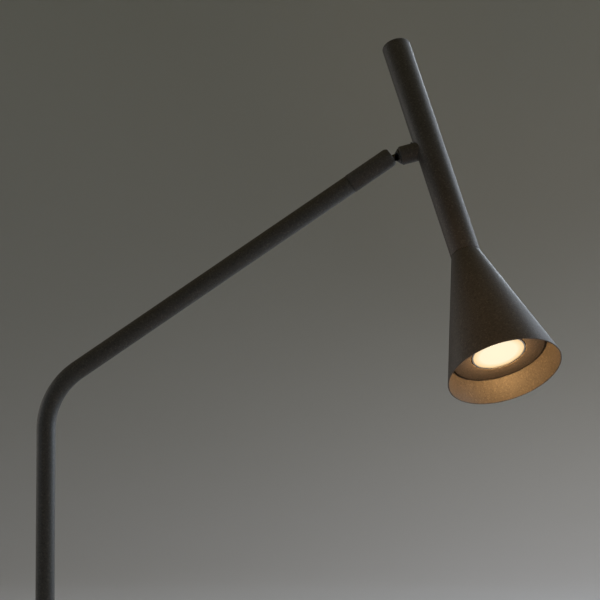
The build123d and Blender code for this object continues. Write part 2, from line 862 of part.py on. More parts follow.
# ---- head ---------------------------------------------------------------------------------------
def make_boss():
    with BuildPart() as boss:
        with BuildSketch(across_stem(boss_face)):
            Circle(boss_r)
        extrude(amount=head_offset - boss_face)
        near_edge = boss.edges().filter_by(GeomType.CIRCLE).sort_by(stem_axis)[0]
        chamfer(near_edge, length=0.8)
        # saddle that fits the head tube
        with BuildSketch(across_head(-head_tube_length / 2 - 2 * boss_r)):
            Circle(head_tube_r)
        extrude(amount=4 * boss_r, mode=Mode.SUBTRACT)
        with BuildSketch(across_stem(boss_face)):
            Circle(shank_r + running_gap)
        extrude(amount=head_offset, mode=Mode.SUBTRACT)
        with BuildSketch(across_stem(boss_face + boss_web)):
            Circle(boss_pocket_r)
        extrude(amount=head_offset, mode=Mode.SUBTRACT)
        with BuildSketch(stop_plane(upright_of_stem)):
            Circle(stop_screw_r + thread_gap)
        extrude(amount=boss_r + 1, mode=Mode.SUBTRACT)
    return boss


def make_stop_screw():
    screw_end = boss_r + stop_screw_proud
    with BuildPart() as stop_screw:
        with BuildSketch(stop_plane(upright_of_stem).offset(stop_screw_tip_r)):
            Circle(stop_screw_r)
        extrude(amount=screw_end - stop_screw_tip_r)
        with BuildSketch(stop_plane(upright_of_stem).offset(screw_end)):
            RegularPolygon(0.65, 6, major_radius=False)
        extrude(amount=-1.2, mode=Mode.SUBTRACT)
    return stop_screw


def make_head_tube():
    with BuildPart() as head_tube:
        with BuildSketch(across_head(cap_thick - head_tube_length)):
            Circle(head_tube_r)
            Circle(head_tube_bore_r, mode=Mode.SUBTRACT)
        extrude(amount=head_tube_length - cap_thick - seam_gap)
        with BuildSketch(across_stem(boss_face)):
            Circle(boss_pocket_r - 0.5)
        extrude(amount=head_offset - boss_face, mode=Mode.SUBTRACT)
    return head_tube


def make_top_cap():
    with BuildPart() as top_cap:
        with BuildSketch(across_head(-head_tube_length)):
            Circle(head_tube_r)
        extrude(amount=cap_thick)
        top_edge = top_cap.edges().sort_by(head_axis)[0]
        chamfer(top_edge, length=0.4)
        with BuildSketch(across_head(cap_thick - head_tube_length)):
            Circle(head_tube_bore_r - seat_gap)
        extrude(amount=cap_depth)
        with BuildSketch(across_head(cap_thick - head_tube_length)):
            Circle(head_tube_bore_r - 2)
        extrude(amount=cap_depth, mode=Mode.SUBTRACT)
    return top_cap


def make_shade():
    flange_inner_r = head_tube_r + shade_slope * shade_flange_thick - shade_wall_across
    with BuildPart() as shade:
        with BuildSketch(head_profile):
            with BuildLine():
                Polyline(
                    (0, shade_flange_r),
                    (0, head_tube_r),
                    (shade_length, shade_mouth_r),
                    (shade_length, shade_mouth_r - shade_wall_across),
                    (shade_flange_thick, flange_inner_r),
                    (shade_flange_thick, shade_flange_r),
                    close=True,
                )
            make_face()
        revolve(axis=head_axis)
        rim_edges = shade.edges().filter_by(GeomType.CIRCLE).sort_by(head_axis)[-2:]
        fillet(rim_edges, radius=shade_wall * 0.35)
    return shade


def make_shade_coupling():
    neck_end = shade_flange_thick + ring_nut_height
    with BuildPart() as shade_coupling:
        with BuildSketch(head_profile):
            with BuildLine():
                Polyline(
                    (-coupling_depth, coupling_hollow_r),
                    (-coupling_depth, head_tube_bore_r - seat_gap),
                    (-seam_gap, head_tube_bore_r - seat_gap),
                    (-seam_gap, head_tube_bore_r + 0.4),
                    (0, head_tube_bore_r + 0.4),
                    (0, coupling_neck_r),
                    (neck_end, coupling_neck_r),
                    (neck_end, holder_stem_r + thread_gap),
                    (-coupling_web, holder_stem_r + thread_gap),
                    (-coupling_web, coupling_hollow_r),
                    close=True,
                )
            make_face()
        revolve(axis=head_axis)
    return shade_coupling


def make_shade_ring_nut():
    nut_start = across_head(shade_flange_thick)
    return ring(nut_start, ring_nut_outer_r, coupling_neck_r + thread_gap, ring_nut_height)


def make_holder_stem():
    return ring(
        across_head(holder_stem_top),
        holder_stem_r,
        holder_stem_bore_r,
        holder_top + holder_socket_depth - holder_stem_top,
    )


def make_holder_stem_nuts():
    lower_place = shade_flange_thick + ring_nut_height
    upper_place = -coupling_web - stem_nuts_thick
    with BuildPart() as holder_stem_nuts:
        for place in (upper_place, lower_place):
            with BuildSketch(across_head(place)):
                RegularPolygon(stem_nuts_flats / 2, 6, major_radius=False)
                Circle(holder_stem_r + thread_gap, mode=Mode.SUBTRACT)
            extrude(amount=stem_nuts_thick)
    return holder_stem_nuts


def make_lamp_holder():
    holder_bottom = holder_top + holder_length
    with BuildPart() as lamp_holder:
        with BuildSketch(across_head(holder_top)):
            Circle(holder_r)
        extrude(amount=holder_length)
        top_edge = lamp_holder.edges().sort_by(head_axis)[0]
        chamfer(top_edge, length=2)
        with BuildSketch(across_head(holder_top)):
            Circle(holder_stem_r + thread_gap)
        extrude(amount=holder_socket_depth, mode=Mode.SUBTRACT)
        with BuildSketch(across_head(holder_bottom)):
            with Locations((-pin_spread, 0), (pin_spread, 0)):
                Circle(pin_foot_r + 0.3)
        extrude(amount=-pin_length - 1, mode=Mode.SUBTRACT)
    return lamp_holder


def make_lamp_base():
    base_top = holder_top + holder_length + 0.2
    with BuildPart() as lamp_base:
        with BuildSketch(across_head(base_top)):
            Circle(lamp_base_r)
        extrude(amount=lamp_neck - base_top)
        with BuildSketch(across_head(base_top)):
            with Locations((-pin_spread, 0), (pin_spread, 0)):
                Circle(pin_r + thread_gap)
        extrude(amount=3, mode=Mode.SUBTRACT)
    return lamp_base


def make_lamp_pins():
    pin_root = holder_top + holder_length + 3
    with BuildPart() as lamp_pins:
        with BuildSketch(across_head(pin_root)):
            with Locations((-pin_spread, 0), (pin_spread, 0)):
                Circle(pin_r)
        extrude(amount=-pin_length - 2)
        with BuildSketch(across_head(pin_root - pin_length - 2)):
            with Locations((-pin_spread, 0), (pin_spread, 0)):
                Circle(pin_foot_r)
        extrude(amount=2)
    return lamp_pins


def make_lamp_reflector():
    rim_start = lamp_face - lamp_rim
    glass_seat = lamp_face - glass_thick
    bowl_r = glass_r - 0.8
    bowl_depth = glass_seat - lamp_neck - 2
    neck_angle = degrees(asin(lamp_neck_r / lamp_r))
    shell_depth = (rim_start - lamp_neck) / cos(radians(neck_angle))
    with BuildPart() as lamp_reflector:
        with BuildSketch(head_profile):
            with BuildLine():
                Line((lamp_neck, 0), (lamp_neck, lamp_neck_r))
                EllipticalCenterArc(
                    (rim_start, 0), shell_depth, lamp_r, start_angle=90, arc_size=90 - neck_angle
                )
                Polyline(
                    (rim_start, lamp_r),
                    (lamp_face, lamp_r),
                    (lamp_face, glass_r + 0.05),
                    (glass_seat, glass_r + 0.05),
                    (glass_seat, bowl_r),
                )
                EllipticalCenterArc((glass_seat, 0), bowl_depth, bowl_r, start_angle=90, arc_size=90)
                Line((glass_seat - bowl_depth, 0), (lamp_neck, 0))
            make_face()
        revolve(axis=head_axis)
    return lamp_reflector


def make_lamp_glass():
    with BuildPart() as lamp_glass:
        with BuildSketch(across_head(lamp_face - glass_thick)):
            Circle(glass_r)
        extrude(amount=glass_thick)
        face_edge = lamp_glass.edges().sort_by(head_axis)[-1]
        fillet(face_edge, radius=0.5)
    return lamp_glass


def make_baffle():
    outer_r = shade_inner_r(lamp_face) - baffle_gap
    with BuildPart() as baffle:
        with BuildSketch(head_profile):
            with BuildLine():
                Polyline(
                    (lamp_face - baffle_collar, baffle_hole_r),
                    (lamp_face, baffle_hole_r),
                    (lamp_face, outer_r),
                    (lamp_face - 3, outer_r - 3 * shade_slope),
                    (lamp_face - 3, outer_r - 3 * shade_slope - baffle_thick),
                    (lamp_face - baffle_thick, outer_r - baffle_thick),
                    (lamp_face - baffle_thick, baffle_hole_r + baffle_thick),
                    (lamp_face - baffle_collar, baffle_hole_r + baffle_thick),
                    close=True,
                )
            make_face()
        revolve(axis=head_axis)
    return baffle


def make_baffle_clips():
    foot_place = lamp_face - baffle_thick
    foot_r = shade_inner_r(lamp_face) - baffle_gap - 9
    tip_place = foot_place - baffle_clip_length
    tip_r = shade_inner_r(tip_place) - 0.2 - baffle_clip_thick
    clip_turn = 360 / baffle_clip_count
    with BuildPart() as baffle_clips:
        for number in range(baffle_clip_count):
            facing = stem_dir.rotate(Axis((0, 0, 0), head_dir), number * clip_turn)
            with BuildSketch(Plane(origin=seam_centre, x_dir=head_dir, z_dir=facing)):
                with BuildLine():
                    Polyline(
                        (foot_place, foot_r),
                        (foot_place, foot_r + 4),
                        (foot_place - baffle_clip_thick, foot_r + 4),
                        (tip_place, tip_r + baffle_clip_thick),
                        (tip_place, tip_r),
                        (foot_place - baffle_clip_thick - 0.1, foot_r + 3.4),
                        (foot_place - baffle_clip_thick, foot_r),
                        close=True,
                    )
                make_face()
            extrude(amount=baffle_clip_width / 2, both=True)
    return baffle_clips


def make_head_lead():
    with BuildPart() as head_lead:
        with BuildLine() as route:
            FilletPolyline(
                ball_centre + stem_dir * -4.5,
                head_middle,
                seam_centre + head_dir * (holder_top + holder_socket_depth),
                radius=11,
            )
        with BuildSketch(Plane(origin=route.line @ 0, z_dir=route.line % 0)):
            Circle(lead_r)
        sweep()
    return head_lead


# ---- write every piece --------------------------------------------------------------------------
save(make_foot_pad(), "foot_pad")
save(make_bottom_plate(), "bottom_plate")
save(make_bottom_screws(), "bottom_screws")
save(make_base_weight(), "base_weight")
save(make_base_cover(), "base_cover")
save(make_pole_plug(), "pole_plug")
save(make_pole_nut(), "pole_nut")
save(make_pole_washer(), "pole_washer")
save(make_cord_gland(), "cord_gland")
save(make_cord_clamp(), "cord_clamp")
save(make_clamp_screws(), "clamp_screws")
save(make_terminal_block(), "terminal_block")
save(make_terminal_screws(), "terminal_screws")
save(make_switch_body(), "switch_body")
save(make_switch_nut(), "switch_nut")
save(make_switch_button(), "switch_button")
save(make_switch_spring(), "switch_spring")
save(make_switch_lead(), "switch_lead")
save(make_pole_tube(), "pole_tube")
save(make_arm_lead(), "arm_lead")
save(make_arm_plug(), "arm_plug")
save(make_swivel_washer(), "swivel_washer")
save(make_socket_sleeve(), "socket_sleeve")
save(make_sleeve_screw(), "sleeve_screw")
save(make_ball_seat(), "ball_seat")
save(make_seat_spring(), "seat_spring")
save(make_ball_stem(), "ball_stem")
save(make_friction_washer(), "friction_washer")
save(make_stem_washer(), "stem_washer")
save(make_stem_nut(), "stem_nut")
save(make_stop_peg(), "stop_peg")
save(make_boss(), "boss")
save(make_stop_screw(), "stop_screw")
save(make_head_tube(), "head_tube")
save(make_top_cap(), "top_cap")
save(make_shade(), "shade")
save(make_shade_coupling(), "shade_coupling")
save(make_shade_ring_nut(), "shade_ring_nut")
save(make_holder_stem(), "holder_stem")
save(make_holder_stem_nuts(), "holder_stem_nuts")
save(make_lamp_holder(), "lamp_holder")
save(make_lamp_base(), "lamp_base")
save(make_lamp_pins(), "lamp_pins")
save(make_lamp_reflector(), "lamp_reflector")
save(make_lamp_glass(), "lamp_glass")
save(make_baffle(), "baffle")
save(make_baffle_clips(), "baffle_clips")
save(make_head_lead(), "head_lead")
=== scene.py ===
"""Looks of the architect desk lamp: powder coated tube stand, ball joint and lit spot head.

Metres, in the part's own frame: +Z up, the arm reaches towards +X, the shade's mouth leans to -Y.
"""

import json
from math import asin, atan2, cos, pi, radians, sin, sqrt, tan

import bpy
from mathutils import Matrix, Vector


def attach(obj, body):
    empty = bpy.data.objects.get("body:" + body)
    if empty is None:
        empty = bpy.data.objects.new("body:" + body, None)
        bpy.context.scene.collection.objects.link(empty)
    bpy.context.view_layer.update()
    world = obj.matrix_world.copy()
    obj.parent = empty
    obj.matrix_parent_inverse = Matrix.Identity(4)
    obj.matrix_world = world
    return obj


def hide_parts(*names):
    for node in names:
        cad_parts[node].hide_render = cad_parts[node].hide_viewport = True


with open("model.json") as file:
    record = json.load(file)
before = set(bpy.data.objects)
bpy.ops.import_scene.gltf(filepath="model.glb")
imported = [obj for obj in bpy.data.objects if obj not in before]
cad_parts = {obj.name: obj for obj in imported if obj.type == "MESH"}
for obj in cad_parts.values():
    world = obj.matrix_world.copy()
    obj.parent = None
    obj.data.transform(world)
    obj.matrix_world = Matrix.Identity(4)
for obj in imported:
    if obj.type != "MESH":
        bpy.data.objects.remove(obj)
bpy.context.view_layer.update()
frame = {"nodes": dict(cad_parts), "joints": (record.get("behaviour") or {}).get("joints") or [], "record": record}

MM = 0.001

# ---- the lamp's three directions and the places along them ----------------------------------
JOINTS = {joint["name"]: joint for joint in frame["joints"]}
BALL = Vector(JOINTS["ball_tilt"]["pos_m"])
ARM = Vector(JOINTS["sleeve_swivel"]["axis"]).normalized()
STEM = Vector(JOINTS["head_spin"]["axis"]).normalized()
HEAD_LEAN = radians(29.2)
ABOVE_STEM = Vector((-STEM.z, 0, STEM.x))
HEAD = (ABOVE_STEM * -cos(HEAD_LEAN) + Vector((0, -1, 0)) * sin(HEAD_LEAN)).normalized()
HEAD_OFFSET = 44 * MM
HEAD_TUBE_LENGTH = 255 * MM
SEAM = BALL + STEM * HEAD_OFFSET + HEAD * (HEAD_TUBE_LENGTH / 2)
UP = Vector((0, 0, 1))

# ---- camera ---------------------------------------------------------------------------------
CAMERA_FROM_BALL = Vector((-81.5, -2181.9, -259.0)) * MM
CAMERA_TILT = radians(90 + 3.29)
CAMERA_LENS = 138.0


# ---- shader maths ---------------------------------------------------------------------------
class Level:
    """A number that changes over a surface. Arithmetic on it adds Math nodes."""

    def __init__(self, finish, socket):
        self.finish = finish
        self.socket = socket

    def _math(self, operation, first, second=0.0):
        node = self.finish.node("ShaderNodeMath", {"operation": operation}, {0: first, 1: second})
        return Level(self.finish, node.outputs[0])

    def __add__(self, other):
        return self._math("ADD", self, other)

    def __radd__(self, other):
        return self._math("ADD", other, self)

    def __sub__(self, other):
        return self._math("SUBTRACT", self, other)

    def __rsub__(self, other):
        return self._math("SUBTRACT", other, self)

    def __mul__(self, other):
        return self._math("MULTIPLY", self, other)

    def __rmul__(self, other):
        return self._math("MULTIPLY", other, self)


class Finish:
    """One node material, with a Principled shader, built up by calls."""

    def __init__(self, name):
        self.material = bpy.data.materials.new(name)
        self.material.use_nodes = True
        self.tree = self.material.node_tree
        self.tree.nodes.clear()
        self.output = self.node("ShaderNodeOutputMaterial")
        self.shader = self.node("ShaderNodeBsdfPrincipled")
        self.tree.links.new(self.shader.outputs["BSDF"], self.output.inputs["Surface"])
        self.place = self.node("ShaderNodeTexCoord").outputs["Object"]

    def node(self, kind, settings=None, inputs=None):
        """Add a node: its settings first, then the values or links of its sockets."""
        node = self.tree.nodes.new(kind)
        for key, value in (settings or {}).items():
            setattr(node, key, value)
        for key, value in (inputs or {}).items():
            self.feed(node.inputs[key], value)
        return node

    def feed(self, socket, value):
        if isinstance(value, Level):
            self.tree.links.new(value.socket, socket)
        elif isinstance(value, bpy.types.NodeSocket):
            self.tree.links.new(value, socket)
        else:
            socket.default_value = value

    def noise(self, size, detail=2.0, roughness=0.5):
        """Soft noise whose lumps are about one size across, in metres, from 0 to 1."""
        node = self.node(
            "ShaderNodeTexNoise",
            None,
            {"Vector": self.place, "Scale": 1 / size, "Detail": detail, "Roughness": roughness},
        )
        return Level(self, node.outputs["Fac"])

    def range(self, level, low, high, to_low=0.0, to_high=1.0):
        """Carry the part of a level from low to high over to a new range, clamped."""
        node = self.node(
            "ShaderNodeMapRange",
            {"clamp": True},
            {
                "Value": level,
                "From Min": low,
                "From Max": high,
                "To Min": to_low,
                "To Max": to_high,
            },
        )
        return Level(self, node.outputs["Result"])

    def mix(self, factor, first, second):
        """Colour from the first, a link or a colour, to the second, a colour."""
        if isinstance(first, tuple):
            first = (*first, 1.0)
        factor_in, first_in, second_in, colour_out = 0, 6, 7, 2
        inputs = {factor_in: factor, first_in: first, second_in: (*second, 1.0)}
        return self.node("ShaderNodeMix", {"data_type": "RGBA"}, inputs).outputs[colour_out]

    def bump(self, height, depth, strength=1.0, under=None):
        """Bump whose full height is a real depth in metres, over another bump."""
        inputs = {"Height": height, "Distance": depth, "Strength": strength}
        if under is not None:
            inputs["Normal"] = under
        return self.node("ShaderNodeBump", None, inputs).outputs["Normal"]

    def turned_place(self, centre, axis):
        """The surface's place with the axis of a turned piece laid along Z."""
        shifted = self.node(
            "ShaderNodeVectorMath", {"operation": "SUBTRACT"}, {0: self.place, 1: centre}
        )
        turn = axis.rotation_difference(UP).to_euler("XYZ")
        laid = self.node(
            "ShaderNodeMapping",
            {"vector_type": "POINT"},
            {"Vector": shifted.outputs[0], "Rotation": turn},
        )
        return laid.outputs[0]

    def set(self, **values):
        """Set sockets of the shader: base_color, roughness, metallic and so on."""
        for key, value in values.items():
            socket = self.shader.inputs[key.replace("_", " ").title().replace("Ior", "IOR")]
            if isinstance(value, tuple) and len(value) == 3:
                value = (*value, 1.0)
            self.feed(socket, value)


# ---- finishes -------------------------------------------------------------------------------
LAMP_GLOW = 1.06
GRAPHITE_DARK = (0.058, 0.049, 0.041)
GRAPHITE_LIGHT = (0.070, 0.060, 0.050)


def toned(colour, share):
    """A colour made lighter or darker by one share."""
    return tuple(value * share for value in colour)


def powder_coat(name, dark, light):
    """Matt, finely textured coat: cloudy, speckled with pale flecks and dark pits, and grainy."""
    cloud_size, fleck_size, pit_size = 60 * MM, 1.8 * MM, 1.6 * MM
    grain_size, grain_depth = 1.1 * MM, 0.10 * MM
    peel_size, peel_depth = 3.2 * MM, 0.05 * MM
    coat = Finish(name)
    cloud = coat.noise(cloud_size, detail=3)
    grain = coat.noise(grain_size, detail=3, roughness=0.65)
    fleck = coat.range(coat.noise(fleck_size), 0.54, 0.66)
    pit = coat.range(coat.noise(pit_size), 0.46, 0.34)
    body = coat.mix(coat.range(cloud, 0.35, 0.65), dark, light)
    flecked = coat.mix(fleck * 0.5, body, toned(light, 2.0))
    peel = coat.bump(coat.noise(peel_size), peel_depth, 0.5)
    coat.set(
        base_color=coat.mix(pit * 0.6, flecked, toned(dark, 0.4)),
        roughness=0.36 + 0.14 * cloud + 0.16 * grain,
        normal=coat.bump(grain, grain_depth, 0.8, peel),
    )
    return coat.material


def bare_metal(name, colour, roughness, along=None, centre=None):
    """Machined or plated metal: soft smears, and lathe lines round an axis or fine specks."""
    smear_size, speck_size, line_depth, line_scale = 9 * MM, 0.35 * MM, 0.01 * MM, 900.0
    metal = Finish(name)
    smear = metal.noise(smear_size, detail=3)
    if along is None:
        lines = metal.noise(speck_size)
    else:
        laid = metal.turned_place(centre, along)
        rings = metal.node(
            "ShaderNodeTexWave",
            {"wave_type": "BANDS", "bands_direction": "Z"},
            {"Vector": laid, "Scale": line_scale, "Distortion": 0.6, "Detail": 2.0},
        )
        lines = Level(metal, rings.outputs["Fac"])
    metal.set(
        base_color=metal.mix(metal.range(smear, 0.35, 0.7), colour, toned(colour, 0.72)),
        metallic=1.0,
        roughness=roughness + 0.12 * smear,
        normal=metal.bump(lines, line_depth, 0.5),
    )
    return metal.material


def moulded(name, colour, roughness, grain_size=0.5 * MM, depth=0.03 * MM):
    """Moulded, cast or fired surface with an even grain."""
    cloud_size = 14 * MM
    plastic = Finish(name)
    cloud = plastic.noise(cloud_size, detail=3)
    grain = plastic.noise(grain_size)
    lighter = tuple(min(1.0, value * 1.25 + 0.004) for value in colour)
    plastic.set(
        base_color=plastic.mix(plastic.range(cloud, 0.3, 0.7), colour, lighter),
        roughness=roughness + 0.12 * (cloud - 0.5) + 0.06 * grain,
        normal=plastic.bump(grain, depth, 0.6),
    )
    return plastic.material


def lit_glass():
    """Lightly frosted front of the lamp, glowing warm, hottest in the middle."""
    edge_start, edge_end, frost_size = 17 * MM, 23.5 * MM, 0.8 * MM
    glass = Finish("lit_lamp_glass")
    laid = glass.turned_place(SEAM, HEAD)
    flat = glass.node("ShaderNodeVectorMath", {"operation": "MULTIPLY"}, {0: laid, 1: (1, 1, 0)})
    distance = glass.node("ShaderNodeVectorMath", {"operation": "LENGTH"}, {0: flat.outputs[0]})
    edge = glass.range(Level(glass, distance.outputs["Value"]), edge_start, edge_end)
    glass.set(
        base_color=(0.002, 0.002, 0.002),
        specular_ior_level=0.0,
        roughness=glass.range(glass.noise(frost_size), 0.3, 0.7, 0.25, 0.4),
        emission_color=glass.mix(edge, (1.0, 0.87, 0.62), (0.95, 0.66, 0.33)),
        emission_strength=LAMP_GLOW,
    )
    return glass.material


COAT = powder_coat("graphite_powder_coat", GRAPHITE_DARK, GRAPHITE_LIGHT)
NICKEL = bare_metal("dark_polished_nickel", (0.11, 0.105, 0.10), 0.12, STEM, BALL)
ZINC = bare_metal("zinc_plated_steel", (0.55, 0.56, 0.57), 0.34)
SPRING = bare_metal("spring_steel", (0.42, 0.42, 0.43), 0.3)
BRASS = bare_metal("turned_brass", (0.72, 0.52, 0.24), 0.28, ARM, BALL)
BLACK_STEEL = bare_metal("black_oxide_steel", (0.05, 0.05, 0.052), 0.45)
IRON = moulded("primed_cast_iron", (0.06, 0.058, 0.055), 0.7, 1.4 * MM, 0.2 * MM)
RUBBER = moulded("foam_rubber", (0.022, 0.022, 0.022), 0.85, 0.9 * MM, 0.12 * MM)
NYLON = moulded("black_nylon", (0.02, 0.02, 0.021), 0.5)
PALE_NYLON = moulded("pale_nylon", (0.68, 0.66, 0.6), 0.5)
SHEATH = moulded("lead_sheath", (0.62, 0.6, 0.56), 0.45)
CERAMIC = moulded("glazed_ceramic", (0.78, 0.75, 0.68), 0.25, 2.5 * MM, 0.02 * MM)
MIRROR = bare_metal("vapour_coated_reflector", (0.88, 0.84, 0.78), 0.12)
GLASS = lit_glass()

FINISH_OF_SLOT = {
    "graphite_coat": COAT,
    "cast_iron": IRON,
    "zinc_steel": ZINC,
    "black_screws": BLACK_STEEL,
    "spring_steel": SPRING,
    "nickel": NICKEL,
    "turned_brass": BRASS,
    "foot_rubber": RUBBER,
    "black_nylon": NYLON,
    "white_nylon": PALE_NYLON,
    "button_black": NYLON,
    "lead_sheath": SHEATH,
    "holder_ceramic": CERAMIC,
    "lamp_mirror": MIRROR,
    "lamp_glass": GLASS,
}

SLOT_OF = {subpart["node"]: subpart["material_slot"] for subpart in frame["record"]["subparts"]}
BODY_OF = {
    node: body for body, nodes in frame["record"]["behaviour"]["bodies"].items() for node in nodes
}


def finish_cad_nodes():
    """Give every CAD node its finish, by the material slot that the record names."""
    for node, slot_name in SLOT_OF.items():
        for slot in frame["nodes"][node].material_slots:
            slot.material = FINISH_OF_SLOT[slot_name]


# ---- ways of making a piece -----------------------------------------------------------------
SHARP_FROM = radians(32)


def deselect():
    bpy.ops.object.select_all(action="DESELECT")


def take(piece):
    """Make a piece the active one, and the only one selected."""
    deselect()
    piece.select_set(True)
    bpy.context.view_layer.objects.active = piece


def edit(piece, pick="VERT"):
    """Go into one piece's mesh, to work on points or on faces. What is picked stays picked."""
    take(piece)
    bpy.ops.object.mode_set(mode="EDIT")
    bpy.ops.mesh.select_mode(type=pick)


def leave():
    bpy.ops.object.mode_set(mode="OBJECT")


def settle():
    """Put the place and turn of the selected piece into its mesh."""
    bpy.ops.object.transform_apply(location=True, rotation=True, scale=True)


def change(piece, kind, **settings):
    """Put a modifier with its settings on a piece, and apply it."""
    take(piece)
    bpy.ops.object.modifier_add(type=kind)
    modifier = piece.modifiers[-1]
    for key, value in settings.items():
        setattr(modifier, key, value)
    bpy.ops.object.modifier_apply(modifier=modifier.name)


def close_and_face_out(holes=False):
    """Join meeting points, close open ends if asked, and turn every face outwards."""
    meeting = 0.002 * MM
    bpy.ops.mesh.select_all(action="SELECT")
    bpy.ops.mesh.remove_doubles(threshold=meeting)
    if holes:
        bpy.ops.mesh.fill_holes(sides=0)
    bpy.ops.mesh.select_all(action="SELECT")
    bpy.ops.mesh.normals_make_consistent(inside=False)


def rounded(corners, steps=4, closed=True):
    """Outline whose corners (place, radius, rounding) are rounded off with short arcs."""
    outline = []
    for number, (place, radius, rounding) in enumerate(corners):
        at_end = not closed and number in (0, len(corners) - 1)
        if rounding == 0 or at_end:
            outline.append((place, radius))
            continue
        here = Vector((place, radius))
        before = (Vector(corners[number - 1][:2]) - here).normalized()
        after = (Vector(corners[(number + 1) % len(corners)][:2]) - here).normalized()
        half = before.angle(after) / 2
        centre = here + (before + after).normalized() * (rounding / sin(half))
        reach = rounding / tan(half)
        spoke_in = (here + before * reach - centre).normalized()
        spoke_out = (here + after * reach - centre).normalized()
        for step in range(steps + 1):
            spoke = spoke_in.slerp(spoke_out, step / steps)
            outline.append(tuple(centre + spoke * rounding))
    return outline


def pull_ring(rise, ratio, place):
    """Pull the selected ring of edges along +Z and open or close it."""
    bpy.ops.mesh.extrude_region_move(TRANSFORM_OT_translate={"value": (0, 0, rise)})
    if abs(ratio - 1) > 1e-6:
        bpy.ops.transform.resize(value=(ratio, ratio, 1), center_override=(0, 0, place))


def turned(name, outline, origin, direction, sides=96, closed=True):
    """Piece turned on a lathe: a ring pulled through the stations of an outline, in millimetres.

    A closed outline comes back to its first station. An open one has both ends filled.
    """
    deselect()
    place, radius = outline[0]
    bpy.ops.mesh.primitive_circle_add(
        vertices=sides, radius=radius * MM, location=(0, 0, place * MM)
    )
    piece = bpy.context.object
    piece.name = name
    settle()
    edit(piece)
    bpy.ops.mesh.select_all(action="SELECT")
    stations = outline[1:] + (outline[:1] if closed else [])
    for next_place, next_radius in stations:
        pull_ring((next_place - place) * MM, next_radius / radius, next_place * MM)
        place, radius = next_place, next_radius
    close_and_face_out(holes=not closed)
    leave()
    lay(piece, origin, direction)
    return piece


def lay(piece, origin, direction):
    """Put a piece that was made upright at the middle of the floor in its place."""
    take(piece)
    piece.rotation_mode = "QUATERNION"
    piece.rotation_quaternion = UP.rotation_difference(direction)
    piece.location = origin
    settle()


def drill(piece, cutter):
    """Cut one piece's shape out of another, and throw the cutter away."""
    change(piece, "BOOLEAN", operation="DIFFERENCE", solver="EXACT", object=cutter)
    deselect()
    cutter.select_set(True)
    bpy.ops.object.delete()


def rod(radius, start, end, origin, direction, sides=48):
    """Plain round cutter between two places along a direction."""
    outline = [(start, radius), (end, radius)]
    return turned("cutter", outline, origin, direction, sides, closed=False)


def hand_over(piece, node):
    """Finish a piece: smooth it, paint it, and let it stand for a CAD node on its body."""
    take(piece)
    bpy.ops.object.shade_smooth_by_angle(angle=SHARP_FROM)
    piece.data.materials.clear()
    piece.data.materials.append(FINISH_OF_SLOT[SLOT_OF[node]])
    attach(piece, BODY_OF[node])
    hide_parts(node)


# ---- stand ----------------------------------------------------------------------------------
ORIGIN = Vector((0, 0, 0))
TUBE_R = 9.0
CORNER_HEIGHT = 360.0
BEND_R = 68.0
FOOT_TOP = 22.0
ARM_ANGLE = atan2(ARM.z, ARM.x)
SLEEVE_START = -40.6
SWITCH = Vector((58.0, 0, 0)) * MM
INLET = Vector((-105.0, 0, 10.5)) * MM
BACKWARDS = Vector((-1, 0, 0))


def make_pole_and_arm():
    """Drawn up from the foot, swept round the bend and drawn out along the arm."""
    wall, edge, washer = 1.5, 0.25, 0.5
    turn = pi / 2 - ARM_ANGLE
    tangent = BEND_R * tan(turn / 2)
    bend_start = CORNER_HEIGHT - tangent
    arm_start = Vector((0, 0, CORNER_HEIGHT * MM)) + ARM * tangent * MM
    arm_end = BALL + ARM * (SLEEVE_START - washer) * MM
    deselect()
    bpy.ops.mesh.primitive_circle_add(
        vertices=72, radius=TUBE_R * MM, location=(0, 0, FOOT_TOP * MM)
    )
    tube = bpy.context.object
    tube.name = "pole_and_arm"
    settle()
    edit(tube)
    bpy.ops.mesh.select_all(action="SELECT")
    rise = (bend_start - FOOT_TOP) * MM
    bpy.ops.mesh.extrude_region_move(TRANSFORM_OT_translate={"value": (0, 0, rise)})
    bpy.ops.mesh.spin(
        steps=40, angle=-turn, center=(BEND_R * MM, 0, bend_start * MM), axis=(0, 1, 0)
    )
    reach = arm_end - arm_start
    bpy.ops.mesh.extrude_region_move(TRANSFORM_OT_translate={"value": tuple(reach)})
    close_and_face_out()
    leave()
    change(tube, "SOLIDIFY", thickness=wall * MM, offset=-1)
    change(
        tube, "BEVEL", width=edge * MM, segments=2, limit_method="ANGLE", angle_limit=radians(40)
    )
    hand_over(tube, "pole_tube")


def make_foot_cover():
    """Spun cover with a rounded shoulder, a hole for the pole, one for the switch and one for
    the mains inlet."""
    cover_r, wall, low, pole_hole_r, switch_hole_r, inlet_r = 105.0, 1.5, 2.0, 6.3, 6.15, 4.95
    corners = [
        (low, cover_r, 0.3),
        (FOOT_TOP, cover_r, 6.0),
        (FOOT_TOP, pole_hole_r, 0.2),
        (FOOT_TOP - wall, pole_hole_r, 0),
        (FOOT_TOP - wall, cover_r - wall, 4.5),
        (low, cover_r - wall, 0.3),
    ]
    cover = turned("foot_cover", rounded(corners, 8), ORIGIN, UP, 192)
    drill(cover, rod(switch_hole_r, 18, 26, SWITCH, UP))
    drill(cover, rod(inlet_r, -4, 4, INLET, BACKWARDS))
    hand_over(cover, "base_cover")


